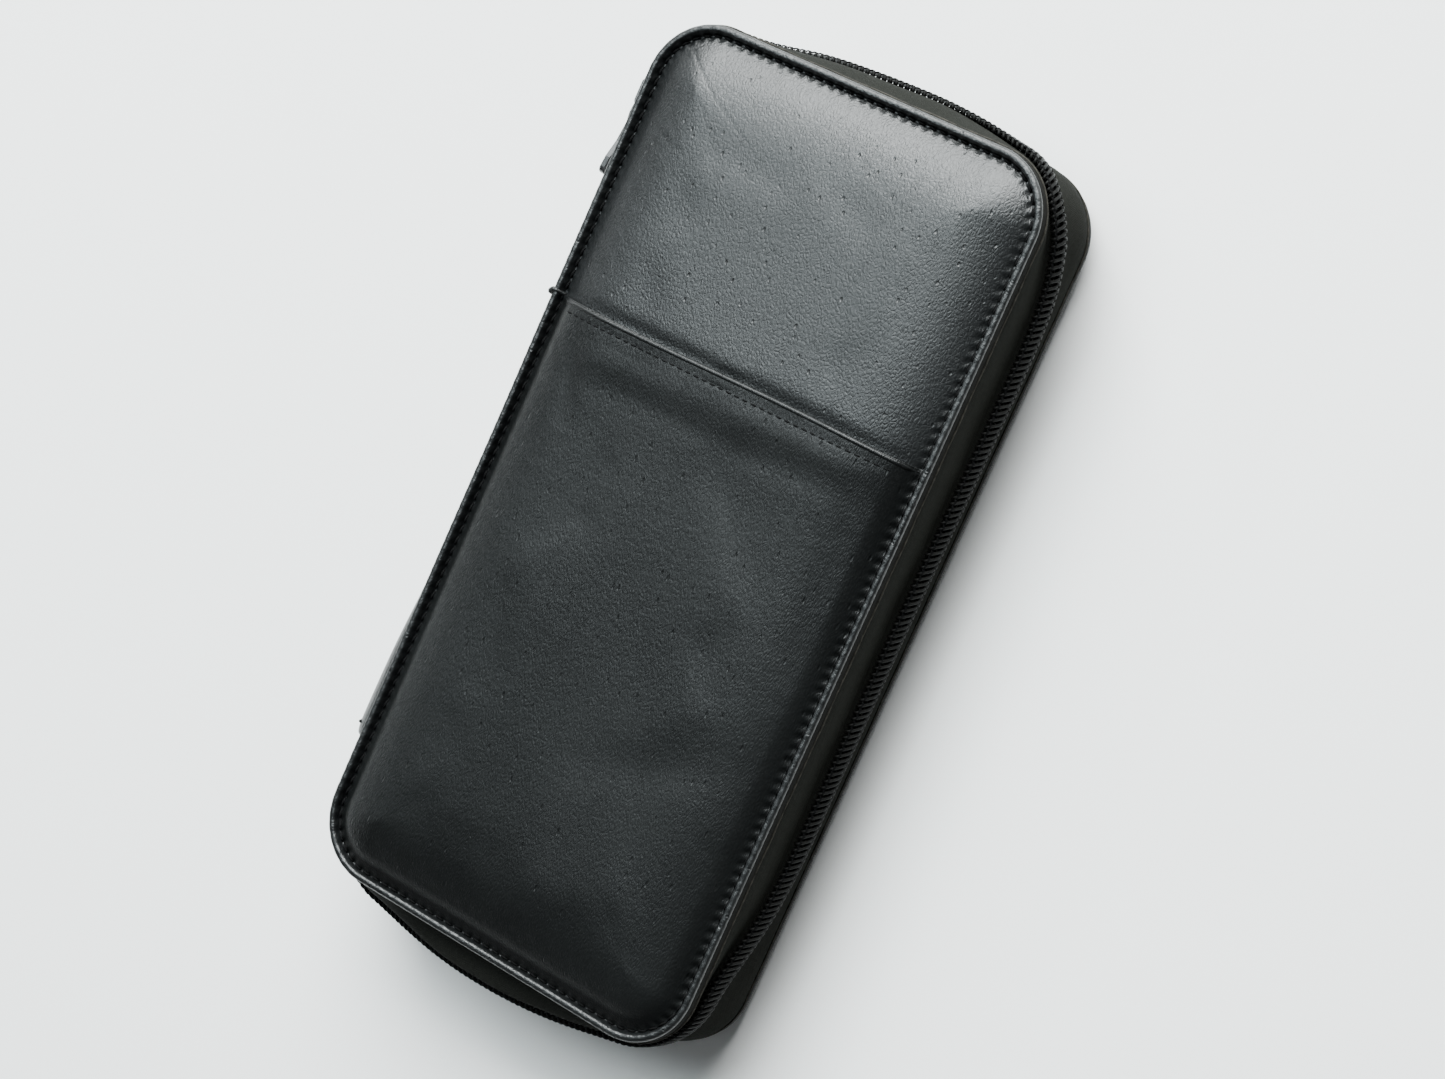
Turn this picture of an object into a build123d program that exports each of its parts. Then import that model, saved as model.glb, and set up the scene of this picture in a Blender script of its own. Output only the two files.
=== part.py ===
from build123d import *
import os

# A zip-around leather case that keeps several pairs of folded glasses apart.
# It lies closed on its back cover. The origin is the middle of that cover's resting face,
# +Z is the thickness, +Y the long direction and -X the side with the spine.
# All sizes are in millimetres.

# ---- driving dimensions -------------------------------------------------------------
case_length = 203.0
case_width = 100.0
corner_radius = 15.0
gusset_height = 22.4        # from the inner face of one cover's rim to the other's
rim_thickness = 2.4
rim_width = 2.2
crown_height = 6.8          # from a rim's inner face to the top of the padded crown
spine_length = 147.0
pocket_mouth_y = 35.0       # the slip pocket covers the front cover below this line

leather_thickness = 1.2
board_thickness = 1.2
lining_thickness = 0.7
tape_thickness = 0.7
thread_height = 0.45
fold_gap = 0.3              # room between pieces that turn against each other

half_length = case_length / 2
half_width = case_width / 2
middle_z = crown_height + gusset_height / 2
back_fold_z = crown_height                      # fold line between back cover and spine
front_fold_z = crown_height + gusset_height     # fold line between spine and front cover

# The covers' section: a rim, a stitching channel, then the padded crown.
channel_height = 1.6
crown_start = 3.4           # distance in from the outline where the crown begins
crown_end = 25.0            # and where it is level
crown_steepness = 2.6
board_inset = 6.0
lining_inset = 3.0

# The zip: each half is a tape that leans outwards and carries half of the coil.
coil_gap = 1.2              # slit between the two halves of the coil
coil_height = 2.4
coil_depth = 1.8
tape_bulge = 1.6            # how far the coil's seat stands outside the covers' outline
tape_root = -0.4            # the tape starts this far outside the outline, so just inside
zip_straight_end = 86.0     # the zip's straight ends beside the spine stop here

nodes = {}


def outline(inset, height):
    """A cover's rounded outline, drawn in from its edge, at a height above the rim's inner face."""
    radius = max(corner_radius - inset, 3.0)
    shape = RectangleRounded(case_width - 2 * inset, case_length - 2 * inset, radius)
    return Plane.XY.offset(height) * shape


def slab(inset, low, high):
    """A rounded plate between two heights."""
    return extrude(outline(inset, low), high - low)


def crown(inset):
    """Height of the leather's crown at a distance in from the outline."""
    reach = min((inset - crown_start) / (crown_end - crown_start), 1.0)
    rise = crown_height - channel_height
    return channel_height + rise * (1 - (1 - reach) ** crown_steepness)


def dome(lift, first_inset, first_height):
    """A solid under the crown, moved up or down by lift, from a first outline upwards."""
    sections = [outline(first_inset, first_height)]
    for inset in (9.0, 13.0, 18.0, crown_end):
        sections.append(outline(inset, crown(inset) + lift))
    return loft(sections, ruled=True)


def box_between(low, high):
    """A box from its lowest to its highest corner."""
    size = [b - a for a, b in zip(low, high)]
    centre = [(a + b) / 2 for a, b in zip(low, high)]
    return Pos(*centre) * Box(*size)


def to_back(shape):
    """The back half is the front half's mirror image about the middle of the zip."""
    return mirror(shape, about=Plane.XY.offset(middle_z))


def on_front(shape):
    """Place a piece drawn above the rim's inner face onto the front half."""
    return Pos(0, 0, front_fold_z) * shape


# ---- covers: leather, board, padding, lining and edge stitching -----------------------
rim = slab(0, channel_height, rim_thickness) - slab(rim_width, channel_height, rim_thickness)
rim = chamfer(rim.edges().group_by(Axis.Z)[-1], 0.6)
board = slab(board_inset, 0, board_thickness)
padding = dome(-leather_thickness, board_inset, board_thickness)
cover_leather = slab(0, 0, channel_height) + rim + dome(0, crown_start, channel_height)
cover_leather = cover_leather - board - padding
lining = slab(lining_inset, -lining_thickness, 0)

stitch_outer = 2.4          # the row of edge stitches lies in the channel
stitch_inner = 3.1
edge_stitching = slab(stitch_outer, channel_height, channel_height + thread_height)
edge_stitching -= slab(stitch_inner, channel_height, channel_height + thread_height)

cover_pieces = {
    "cover_leather": cover_leather,
    "board": board,
    "padding": padding,
    "lining": lining,
    "edge_stitching": edge_stitching,
}
for name, piece in cover_pieces.items():
    nodes["front_" + name] = on_front(piece)
    nodes["back_" + name] = to_back(on_front(piece))

# ---- slip pocket on the outside of the front cover -----------------------------------
pocket_air = 0.3            # it lies this far off the cover when it is empty
pocket_thickness = 1.0
pocket_lift = pocket_air + pocket_thickness
skirt_outer = 3.2           # its edges turn down into the stitching channel
outside = slab(skirt_outer, channel_height, channel_height + pocket_lift)
outside += dome(pocket_lift, skirt_outer, channel_height + pocket_lift)
inside = slab(crown_start, channel_height, channel_height + pocket_air)
inside += dome(pocket_air, crown_start, channel_height + pocket_air)
below_mouth = box_between(
    (-half_width, -half_length, -1), (half_width, pocket_mouth_y, 3 * crown_height)
)
nodes["slip_pocket"] = on_front((outside - inside) & below_mouth)

seam_drop = 2.6             # the pocket's stitch row runs this far below its mouth
seam_width = 0.6
seam_reach = half_width - crown_start - 1
seam_band = box_between(
    (-seam_reach, pocket_mouth_y - seam_drop - seam_width, channel_height),
    (seam_reach, pocket_mouth_y - seam_drop, 3 * crown_height),
)
seam_top = dome(pocket_lift + thread_height, skirt_outer, channel_height + pocket_lift)
seam_base = dome(pocket_lift, skirt_outer, channel_height + pocket_lift)
nodes["slip_pocket_stitching"] = on_front((seam_top - seam_base) & seam_band)

# ---- zip tapes and coils ---------------------------------------------------------------
seat_low = middle_z + coil_gap / 2
seat_high = seat_low + coil_height


def zip_section(points):
    """A section of the front half's zip, drawn outwards from the -X side's outline."""
    corners = [(-half_width - out, z) for out, z in points]
    return Plane.XZ * make_face(Polyline(*corners, close=True))


def tape_points(base_z):
    """The tape's section: sewn under the rim, leaning out, then upright behind the coil."""
    root_in = tape_root - tape_thickness
    seat_in = tape_bulge - tape_thickness
    return [
        (root_in, base_z),
        (tape_root, base_z),
        (tape_bulge, seat_high),
        (tape_bulge, seat_low),
        (seat_in, seat_low),
        (seat_in, seat_high),
    ]


coil_points = [
    (tape_bulge, seat_low),
    (tape_bulge + coil_depth, seat_low),
    (tape_bulge + coil_depth, seat_high - 0.8),
    (tape_bulge + coil_depth - 0.8, seat_high),
    (tape_bulge, seat_high),
]

# The long run goes from beside the spine round all four corners and back to the spine.
run_start = zip_straight_end + fold_gap
run = FilletPolyline(
    (-half_width, run_start),
    (-half_width, half_length),
    (half_width, half_length),
    (half_width, -half_length),
    (-half_width, -half_length),
    (-half_width, -run_start),
    radius=corner_radius,
)
run_pieces = {"zip_tape": tape_points(front_fold_z), "zip_coil": coil_points}
for name, points in run_pieces.items():
    section = Pos(0, run_start, 0) * zip_section(points)
    piece = sweep(section, path=run)
    nodes["front_" + name] = piece
    nodes["back_" + name] = to_back(piece)

# The zip's two straight ends lie beside the spine and move with it.
stop_length = 1.2
spine_end = spine_length / 2
stop_start = spine_end + 0.4
coil_start = stop_start + stop_length
end_pieces = {
    "zip_tape_ends": (tape_points(front_fold_z - fold_gap), stop_start),
    "zip_coil_ends": (coil_points, coil_start),
}
for name, (points, start) in end_pieces.items():
    section = Pos(0, zip_straight_end, 0) * zip_section(points)
    upper = extrude(section, zip_straight_end - start, dir=(0, -1, 0))
    pair = [upper, to_back(upper)]
    lower_pair = [mirror(piece, about=Plane.XZ) for piece in pair]
    nodes[name] = Compound(children=pair + lower_pair)

stop_rise = 0.3
stop_section = [
    (tape_bulge, seat_low),
    (tape_bulge + coil_depth + stop_rise, seat_low),
    (tape_bulge + coil_depth + stop_rise, seat_high),
    (tape_bulge, seat_high),
]
top_stop = Pos(0, coil_start, 0) * zip_section(stop_section)
top_stop = extrude(top_stop, stop_length, dir=(0, -1, 0))
bottom_stop = box_between(
    (-half_width - tape_bulge - coil_depth - stop_rise, -coil_start, 2 * middle_z - seat_high),
    (-half_width - tape_bulge, -stop_start, seat_high),
)
nodes["zip_end_stops"] = Compound(children=[top_stop, to_back(top_stop), bottom_stop])

# ---- spine ---------------------------------------------------------------------------
spine_bow = 2.0             # the spine stands out this much more at its middle
spine_foot = 1.6            # outer face's distance outside the outline at the fold lines
spine_low = back_fold_z + fold_gap
spine_high = front_fold_z - fold_gap


def spine_band(outer, inner, low_y, high_y):
    """A bowed strip between two distances outside the outline, and two ends."""
    edges = []
    for out in (outer, inner):
        edge_x = -half_width - out
        edges.append(
            ThreePointArc(
                (edge_x, spine_low), (edge_x - spine_bow, middle_z), (edge_x, spine_high)
            )
        )
    low_line = Line(edges[0] @ 0, edges[1] @ 0)
    high_line = Line(edges[0] @ 1, edges[1] @ 1)
    face = make_face([edges[0], high_line, edges[1], low_line])
    return extrude(Pos(0, high_y, 0) * (Plane.XZ * face), high_y - low_y, dir=(0, -1, 0))


spine_layers = {
    "spine_leather": leather_thickness,
    "spine_board": 0.8,
    "spine_lining": 0.5,
}
layer_outer = spine_foot
for name, thickness in spine_layers.items():
    layer_inner = layer_outer - thickness
    nodes[name] = spine_band(layer_outer, layer_inner, -spine_end, spine_end)
    layer_outer = layer_inner

spine_seam_y = spine_end - 2.0
thread_foot = spine_foot + thread_height
seam = spine_band(thread_foot, spine_foot, spine_seam_y - seam_width, spine_seam_y)
nodes["spine_stitching"] = Compound(children=[seam, mirror(seam, about=Plane.XZ)])

# ---- sleeves for the glasses, two side by side in each half ---------------------------
sleeve_width = 44.6
sleeve_height = 9.6
sleeve_wall = 1.0
sleeve_bottom_y = -88.0
sleeve_mouth_y = 62.0
sleeve_spacing = 45.2
sleeve_rounding = 2.5
sleeve_centre_y = (sleeve_bottom_y + sleeve_mouth_y) / 2
sleeve_length = sleeve_mouth_y - sleeve_bottom_y

sleeve = Box(sleeve_width, sleeve_length, sleeve_height)
sleeve = fillet(sleeve.edges().filter_by(Axis.Y).group_by(Axis.Z)[0], sleeve_rounding)
hollow = Box(sleeve_width - 2 * sleeve_wall, sleeve_length, sleeve_height)
hollow = fillet(hollow.edges().filter_by(Axis.Y).group_by(Axis.Z)[0], sleeve_rounding - sleeve_wall)
sleeve -= Pos(0, sleeve_wall, sleeve_wall) * hollow
sleeve = Pos(0, sleeve_centre_y, -lining_thickness - sleeve_height / 2) * sleeve
for side, direction in (("left", -1), ("right", 1)):
    piece = on_front(Pos(direction * sleeve_spacing / 2, 0, 0) * sleeve)
    nodes["front_sleeve_" + side] = piece
    nodes["back_sleeve_" + side] = to_back(piece)

# ---- zip slider: two plates joined by a post, with a bridge that holds the pull tab ---
slider_length = 9.6
slider_width = 7.8
slider_plate = 1.1
coil_room = 0.4             # outside the coil
tape_room = 0.6             # inside the tape
flange_thickness = 0.6
slider_y = zip_straight_end - slider_length / 2
outer_face_x = -half_width - tape_bulge - coil_depth - coil_room
inner_face_x = -half_width - tape_bulge + tape_thickness + tape_room
slider_front = slider_y - slider_length / 2
slider_back = slider_y + slider_length / 2

outer_plate = box_between(
    (outer_face_x - slider_plate, slider_front, middle_z - slider_width / 2),
    (outer_face_x, slider_back, middle_z + slider_width / 2),
)
outer_plate = fillet(outer_plate.edges().filter_by(Axis.X), 1.6)
inner_plate = box_between(
    (inner_face_x, slider_front, middle_z - slider_width / 2 + 1.2),
    (inner_face_x + 0.9, slider_back, middle_z + slider_width / 2 - 1.2),
)
inner_plate = fillet(inner_plate.edges().filter_by(Axis.X), 1.2)
post = box_between(
    (outer_face_x, slider_front, middle_z - 0.3),
    (inner_face_x, slider_front + 2.4, middle_z + 0.3),
)
slider = outer_plate + inner_plate + post
for direction in (-1, 1):
    flange_z = middle_z + direction * (slider_width - flange_thickness) / 2
    slider += box_between(
        (outer_face_x, slider_front + 1.6, flange_z - flange_thickness / 2),
        (outer_face_x + 1.5, slider_back - 1.6, flange_z + flange_thickness / 2),
    )
nodes["slider_body"] = slider

bridge_length = 6.4
bridge_width = 2.2
bridge_rise = 3.0
bridge_bar = 1.0
plate_top_x = outer_face_x - slider_plate
bridge = box_between(
    (plate_top_x - bridge_rise, slider_y - bridge_length / 2, middle_z - bridge_width / 2),
    (plate_top_x, slider_y + bridge_length / 2, middle_z + bridge_width / 2),
)
bridge_corners = bridge.edges().filter_by(Axis.Z).group_by(Axis.X)[0]
bridge = fillet(bridge_corners, 1.2)
bridge -= box_between(
    (
        plate_top_x - bridge_rise + bridge_bar,
        slider_y - bridge_length / 2 + bridge_bar,
        middle_z - bridge_width,
    ),
    (plate_top_x, slider_y + bridge_length / 2 - bridge_bar, middle_z + bridge_width),
)
nodes["slider_bridge"] = bridge

# ---- pull tab: a waisted tab whose cross bar turns under the bridge ---------------------
tab_length = 20.0           # from the cross bar's centre to the tip
tab_width = 4.8
tab_waist = 3.0
tab_thickness = 1.1
tab_window = 3.9            # clears the bridge's foot as the tab turns
tab_arm = 1.0
tab_lean = 6.0              # the tab stands this many degrees off the spine
pivot_x = plate_top_x - 1.0

edge_line = [(0, tab_width / 2), (-5, tab_width / 2), (-7.5, tab_waist / 2), (-12, tab_waist / 2)]
edge_line += [(-16, tab_width / 2), (-tab_length, tab_width / 2)]
other_side = [(y, -z) for y, z in reversed(edge_line)]
tab = Plane.YZ * make_face(Polyline(*edge_line, *other_side, close=True))
tab = extrude(tab, tab_thickness / 2, both=True)
tab = fillet(tab.edges().filter_by(Axis.X).group_by(Axis.Y)[0], 1.6)
tab -= box_between(
    (-tab_thickness, -tab_window, -tab_width / 2 + tab_arm),
    (tab_thickness, tab_thickness, tab_width / 2 - tab_arm),
)
tab -= Pos(0, -tab_length + 4.0, 0) * Rot(0, 90, 0) * Cylinder(1.0, 3 * tab_thickness)
tab += Cylinder(0.6, tab_width)
nodes["pull_tab"] = Pos(pivot_x, slider_y, middle_z) * (Rot(0, 0, -tab_lean) * tab)

os.makedirs("parts", exist_ok=True)
for name, shape in nodes.items():
    export_step(shape, f"parts/{name}.step")
print(len(nodes), "nodes; slider centre", slider_y, "tab pivot", pivot_x, slider_y, middle_z)
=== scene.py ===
# %% [markdown]
# # A zip-around leather case for several pairs of glasses
# The CAD model already says where every piece is and how it moves. This lesson dresses it: leather with a
# turned rim, stitches, a woven zip tape with its nylon coil, a slider, and soft sleeves inside.
# Everything is in metres, in the CAD model's own frame, so nothing has to be fitted afterwards.

# %% Load the frame
import math

import bmesh
import bpy
import numpy as np
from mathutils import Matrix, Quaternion, Vector


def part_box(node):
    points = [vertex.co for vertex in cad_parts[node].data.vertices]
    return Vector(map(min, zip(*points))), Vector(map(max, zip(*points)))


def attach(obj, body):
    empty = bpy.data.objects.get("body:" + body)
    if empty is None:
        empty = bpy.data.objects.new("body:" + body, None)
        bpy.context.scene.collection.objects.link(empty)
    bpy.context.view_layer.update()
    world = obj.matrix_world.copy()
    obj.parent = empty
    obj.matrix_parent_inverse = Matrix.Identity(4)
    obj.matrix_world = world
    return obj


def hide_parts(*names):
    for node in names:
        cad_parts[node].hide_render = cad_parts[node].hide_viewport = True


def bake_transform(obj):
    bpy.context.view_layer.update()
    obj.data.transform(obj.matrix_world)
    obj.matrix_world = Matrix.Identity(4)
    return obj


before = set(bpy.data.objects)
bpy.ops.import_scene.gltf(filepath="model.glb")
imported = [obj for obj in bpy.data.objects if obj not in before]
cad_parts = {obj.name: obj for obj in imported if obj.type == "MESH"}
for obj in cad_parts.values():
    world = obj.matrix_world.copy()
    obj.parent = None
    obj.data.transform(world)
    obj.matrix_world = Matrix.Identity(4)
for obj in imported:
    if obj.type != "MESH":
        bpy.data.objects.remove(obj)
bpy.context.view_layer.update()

MM = 0.001

# %% [markdown]
# ## Sizes that everything follows
# The two covers are mirror images about the middle of the zip. So each cover is drawn once, with heights
# measured outwards from the inner face of its rim, and a side of +1 (front) or -1 (back) puts it in place.

# %% Measure the frame
front_low, front_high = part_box("front_cover_leather")
half_width = (front_high.x - front_low.x) / 2
half_length = (front_high.y - front_low.y) / 2
rim_face = {1: front_low.z, -1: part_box("back_cover_leather")[1].z}
middle_z = (rim_face[1] + rim_face[-1]) / 2
half_gusset = rim_face[1] - middle_z
corner_radius = 15 * MM
SIDES = {"front": 1, "back": -1}
print("cover", half_width * 2 / MM, "x", half_length * 2 / MM, "gusset", half_gusset * 2 / MM)

# %% [markdown]
# ## Helpers: loops, tubes and meshes
# A cover is a set of closed loops, each one drawn a bit further in from the outline, with the same number of
# points. Joining each loop to the next gives clean quads that run along the rim, which is what a turned
# leather edge needs. A grid would cut across it in steps.


# %% A closed loop, drawn in from the cover's outline
def outline_loop(inset, pitch):
    """Points and outward directions of the rounded outline, drawn in by inset."""
    width, length = half_width - inset, half_length - inset
    radius = min(max(corner_radius - inset, 3 * MM), width)
    corner_steps = round(corner_radius * math.pi / 2 / pitch)
    long_steps = round(2 * (half_length - corner_radius) / pitch)
    short_steps = round(2 * (half_width - corner_radius) / pitch)
    points, outward = [], []
    starts = [(-1, 0), (0, 1), (1, 0), (0, -1)]
    for number, (nx, ny) in enumerate(starts):
        steps = long_steps if nx else short_steps
        run = np.linspace(-1, 1, steps, endpoint=False)
        reach_x, reach_y = width - radius, length - radius
        along = np.outer(run, (ny * reach_x, -nx * reach_y))
        points.append(along + (nx * width, ny * length))
        outward.append(np.tile((nx, ny), (steps, 1)))
        turn = np.linspace(0, math.pi / 2, corner_steps, endpoint=False)
        ex, ey = ny, -nx
        ray = np.outer(np.cos(turn), (nx, ny)) + np.outer(np.sin(turn), (ex, ey))
        centre = ((nx + ex) * reach_x, (ny + ey) * reach_y)
        points.append(ray * radius + centre)
        outward.append(ray)
    return np.vstack(points), np.vstack(outward)


# %% Turn loops or rows of points into one mesh
def new_object(name, vertices, faces):
    """A mesh object from plain arrays, with its faces turned outwards."""
    mesh = bpy.data.meshes.new(name)
    mesh.from_pydata([tuple(v) for v in vertices], [], [tuple(f) for f in faces])
    piece = bpy.data.objects.new(name, mesh)
    bpy.context.scene.collection.objects.link(piece)
    work = bmesh.new()
    work.from_mesh(mesh)
    bmesh.ops.remove_doubles(work, verts=work.verts, dist=1e-6)
    bmesh.ops.recalc_face_normals(work, faces=work.faces)
    for face in work.faces:
        face.smooth = True
    work.to_mesh(mesh)
    work.free()
    return piece


def grid_faces(rows, columns, wrap_columns=True, wrap_rows=False, first=0):
    """Quads that join each row of points to the next."""
    row = np.arange(rows if wrap_rows else rows - 1)
    column = np.arange(columns if wrap_columns else columns - 1)
    i, j = np.meshgrid(row, column, indexing="ij")
    a = i * columns + j
    b = i * columns + (j + 1) % columns
    c = ((i + 1) % rows) * columns + (j + 1) % columns
    d = ((i + 1) % rows) * columns + j
    return np.stack([a, b, c, d], axis=-1).reshape(-1, 4) + first


def swept_faces(rows, columns):
    """Faces of a closed section swept along a line, with one face over each end."""
    last = (rows - 1) * columns
    return [*grid_faces(rows, columns), tuple(range(columns)), tuple(range(last, last + columns))]


def ring_piece(name, loops):
    """A piece made of closed loops that all have the same number of points."""
    stack = np.array(loops)
    rows, columns = stack.shape[:2]
    return new_object(name, stack.reshape(-1, 3), grid_faces(rows, columns))


# %% Tubes: stitches, the coil and every bead are tubes along a line
def unit(vectors):
    """The same directions, each with a length of one."""
    return vectors / np.maximum(np.linalg.norm(vectors, axis=-1, keepdims=True), 1e-12)


def tubes(name, lines, radii, ups, sides, closed=False):
    """One mesh of many round tubes. lines is (tubes, points, 3); ups is each line's upward side."""
    lines = np.asarray(lines, float)
    count, points = lines.shape[:2]
    if closed:
        along = np.roll(lines, -1, axis=1) - np.roll(lines, 1, axis=1)
    else:
        along = np.gradient(lines, axis=1)
    along = unit(along)
    ups = np.broadcast_to(ups, lines.shape)
    across = unit(np.cross(along, ups))
    rise = np.cross(across, along)
    angle = np.linspace(0, 2 * math.pi, sides, endpoint=False)
    radii = np.broadcast_to(radii, (count, points))[..., None, None]
    ring = across[:, :, None] * np.cos(angle)[:, None] + rise[:, :, None] * np.sin(angle)[:, None]
    vertices = (lines[:, :, None] + radii * ring).reshape(-1, 3)
    one = grid_faces(points, sides, True, closed)
    offsets = np.arange(count)[:, None, None] * points * sides
    faces = list((one[None] + offsets).reshape(-1, 4))
    if not closed:
        for number in range(count):
            first = number * points * sides
            last = first + (points - 1) * sides
            faces.append(tuple(range(first + sides - 1, first - 1, -1)))
            faces.append(tuple(range(last, last + sides)))
    return new_object(name, vertices, faces)


# %% [markdown]
# ## Materials
# Black leather is never just black: it has pores, a fine net of wrinkles, and dull and glossy patches. Each
# finish below is built from noise and cell textures in real millimetres, so that its grain keeps its size on
# every piece. Textures made this way need no image files and can be looked at from as near as you like.


# %% A small kit for node materials
class Finish:
    """A Principled material and short calls for the nodes that feed it."""

    def __init__(self, name, rough, **sockets):
        self.material = bpy.data.materials.new(name)
        self.material.use_nodes = True
        self.tree = self.material.node_tree
        self.shader = self.tree.nodes["Principled BSDF"]
        self.set("Roughness", rough)
        for socket, value in sockets.items():
            self.set(socket.replace("_", " "), value)

    def set(self, socket, value):
        """One value for the whole surface."""
        self.shader.inputs[socket].default_value = value

    def node(self, kind, **settings):
        """A new node with its settings."""
        made = self.tree.nodes.new(kind)
        for key, value in settings.items():
            setattr(made, key, value)
        return made

    def link(self, output, target):
        """A wire from one socket to another."""
        self.tree.links.new(output, target)

    def place(self, size=(1, 1, 1), turn=0.0, uv=False):
        """Coordinates in millimetres of the piece, stretched by size and turned about Z."""
        source = self.node("ShaderNodeTexCoord").outputs["UV" if uv else "Object"]
        mapping = self.node("ShaderNodeMapping")
        mapping.inputs["Scale"].default_value = [1000 / s for s in size]
        mapping.inputs["Rotation"].default_value = (0, 0, turn)
        self.link(source, mapping.inputs["Vector"])
        return mapping.outputs["Vector"]

    def noise(self, where, scale, detail=3.0, rough=0.55):
        """Cloudy noise; scale is how many clouds there are to a millimetre."""
        made = self.node("ShaderNodeTexNoise")
        made.inputs["Scale"].default_value = scale
        made.inputs["Detail"].default_value = detail
        made.inputs["Roughness"].default_value = rough
        self.link(where, made.inputs["Vector"])
        return made.outputs["Fac"]

    def cells(self, where, scale, feature="DISTANCE_TO_EDGE"):
        """Distance to the edges, or to the middles, of a net of cells."""
        made = self.node("ShaderNodeTexVoronoi", feature=feature)
        made.inputs["Scale"].default_value = scale
        self.link(where, made.inputs["Vector"])
        return made.outputs["Distance"]

    def ramp(self, value, low, high, out_low=0.0, out_high=1.0):
        """A value between low and high, spread between out_low and out_high."""
        made = self.node("ShaderNodeMapRange")
        for socket, number in zip((1, 2, 3, 4), (low, high, out_low, out_high)):
            made.inputs[socket].default_value = number
        self.link(value, made.inputs[0])
        return made.outputs[0]

    def math(self, operation, a, b):
        """One sum of two sockets, or of a socket and a number."""
        made = self.node("ShaderNodeMath", operation=operation)
        for socket, value in zip(made.inputs, (a, b)):
            if isinstance(value, (int, float)):
                socket.default_value = value
            else:
                self.link(value, socket)
        return made.outputs[0]

    def colour(self, factor, dark, light):
        """The surface's colour, between a dark and a light one."""
        made = self.node("ShaderNodeMix", data_type="RGBA")
        made.inputs[6].default_value = (*dark, 1)
        made.inputs[7].default_value = (*light, 1)
        self.link(factor, made.inputs[0])
        self.link(made.outputs[2], self.shader.inputs["Base Color"])

    def bump(self, height, strength, depth_mm, under=None):
        """Fine relief from a height, laid over coarser relief when there is some."""
        made = self.node("ShaderNodeBump")
        made.inputs["Strength"].default_value = strength
        made.inputs["Distance"].default_value = depth_mm * MM
        self.link(height, made.inputs["Height"])
        if under is not None:
            self.link(under, made.inputs["Normal"])
        self.link(made.outputs["Normal"], self.shader.inputs["Normal"])
        return made.outputs["Normal"]


# %% Black leather
def leather(name, dark, light, rough, shine, grain_mm, stretch, turn, wrinkle):
    """Smooth black leather: a net of fine wrinkles, scattered pores and dull patches.

    The grain is drawn out by stretch along a direction turned about Z, and wrinkle is in millimetres.
    """
    finish = Finish(name, rough, Specular_IOR_Level=shine)
    plain = finish.place()
    drawn = finish.place(size=stretch, turn=turn)
    wander = finish.noise(plain, 0.35, 2.0)
    shifted = finish.node("ShaderNodeVectorMath", operation="ADD")
    finish.link(drawn, shifted.inputs[0])
    finish.link(wander, shifted.inputs[1])
    net = finish.ramp(finish.cells(shifted.outputs[0], 1 / grain_mm), 0.0, 0.3)
    fine = finish.noise(shifted.outputs[0], 2.4 / grain_mm, 5.0, 0.6)
    pores = finish.ramp(finish.cells(drawn, 0.4, "F1"), 0.05, 0.15)
    sparse = finish.ramp(finish.noise(plain, 0.16, 3.0), 0.50, 0.66)
    pores = finish.math("MAXIMUM", pores, sparse)
    soft = finish.noise(plain, 0.06, 3.0)
    patches = finish.noise(plain, 0.022, 4.0)
    height = finish.math("ADD", finish.math("MULTIPLY", net, 0.5), finish.math("MULTIPLY", fine, 0.9))
    height = finish.math("ADD", height, finish.math("MULTIPLY", pores, 1.6))
    coarse = finish.bump(soft, 0.5, wrinkle)
    finish.bump(height, 0.55, 0.13, coarse)
    shade = finish.math("MULTIPLY", finish.ramp(patches, 0.3, 0.7), pores)
    finish.colour(shade, dark, light)
    dull_patches = finish.ramp(patches, 0.3, 0.7, -0.04, 0.05)
    dull_grain = finish.ramp(fine, 0.3, 0.7, -0.05, 0.05)
    dull = finish.math("ADD", dull_patches, dull_grain)
    finish.link(finish.math("ADD", dull, rough), finish.shader.inputs["Roughness"])
    return finish.material


cover_leather = leather(
    "smooth_cover_leather",
    dark=(0.0012, 0.0015, 0.0016),
    light=(0.0028, 0.0034, 0.0036),
    rough=0.37,
    shine=0.5,
    grain_mm=0.75,
    stretch=(1, 1.5, 1),
    turn=0.7,
    wrinkle=0.2,
)
burnished_rim = leather(
    "burnished_rim_leather",
    dark=(0.0012, 0.0015, 0.0016),
    light=(0.0030, 0.0036, 0.0038),
    rough=0.38,
    shine=0.48,
    grain_mm=0.9,
    stretch=(1, 1, 1),
    turn=0.0,
    wrinkle=0.2,
)
pocket_leather = leather(
    "fine_grain_pocket_leather",
    dark=(0.0011, 0.0014, 0.0014),
    light=(0.0026, 0.0031, 0.0031),
    rough=0.40,
    shine=0.28,
    grain_mm=0.62,
    stretch=(0.8, 2.3, 1),
    turn=0.9,
    wrinkle=0.3,
)
print("leathers:", cover_leather.name, burnished_rim.name, pocket_leather.name)


# %% The leather's raw edge, and the paint on the rim's wall
def cut_edge_finish():
    """The raw edge of the leather: brown fibres with black dye on them."""
    finish = Finish("cut_leather_edge", 0.8, Specular_IOR_Level=0.1)
    grain = finish.noise(finish.place(size=(1.5, 1.5, 0.4)), 1.1, 4.0)
    finish.colour(finish.ramp(grain, 0.3, 0.75), (0.010, 0.0095, 0.008), (0.040, 0.037, 0.031))
    finish.bump(grain, 0.6, 0.15)
    return finish.material


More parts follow.
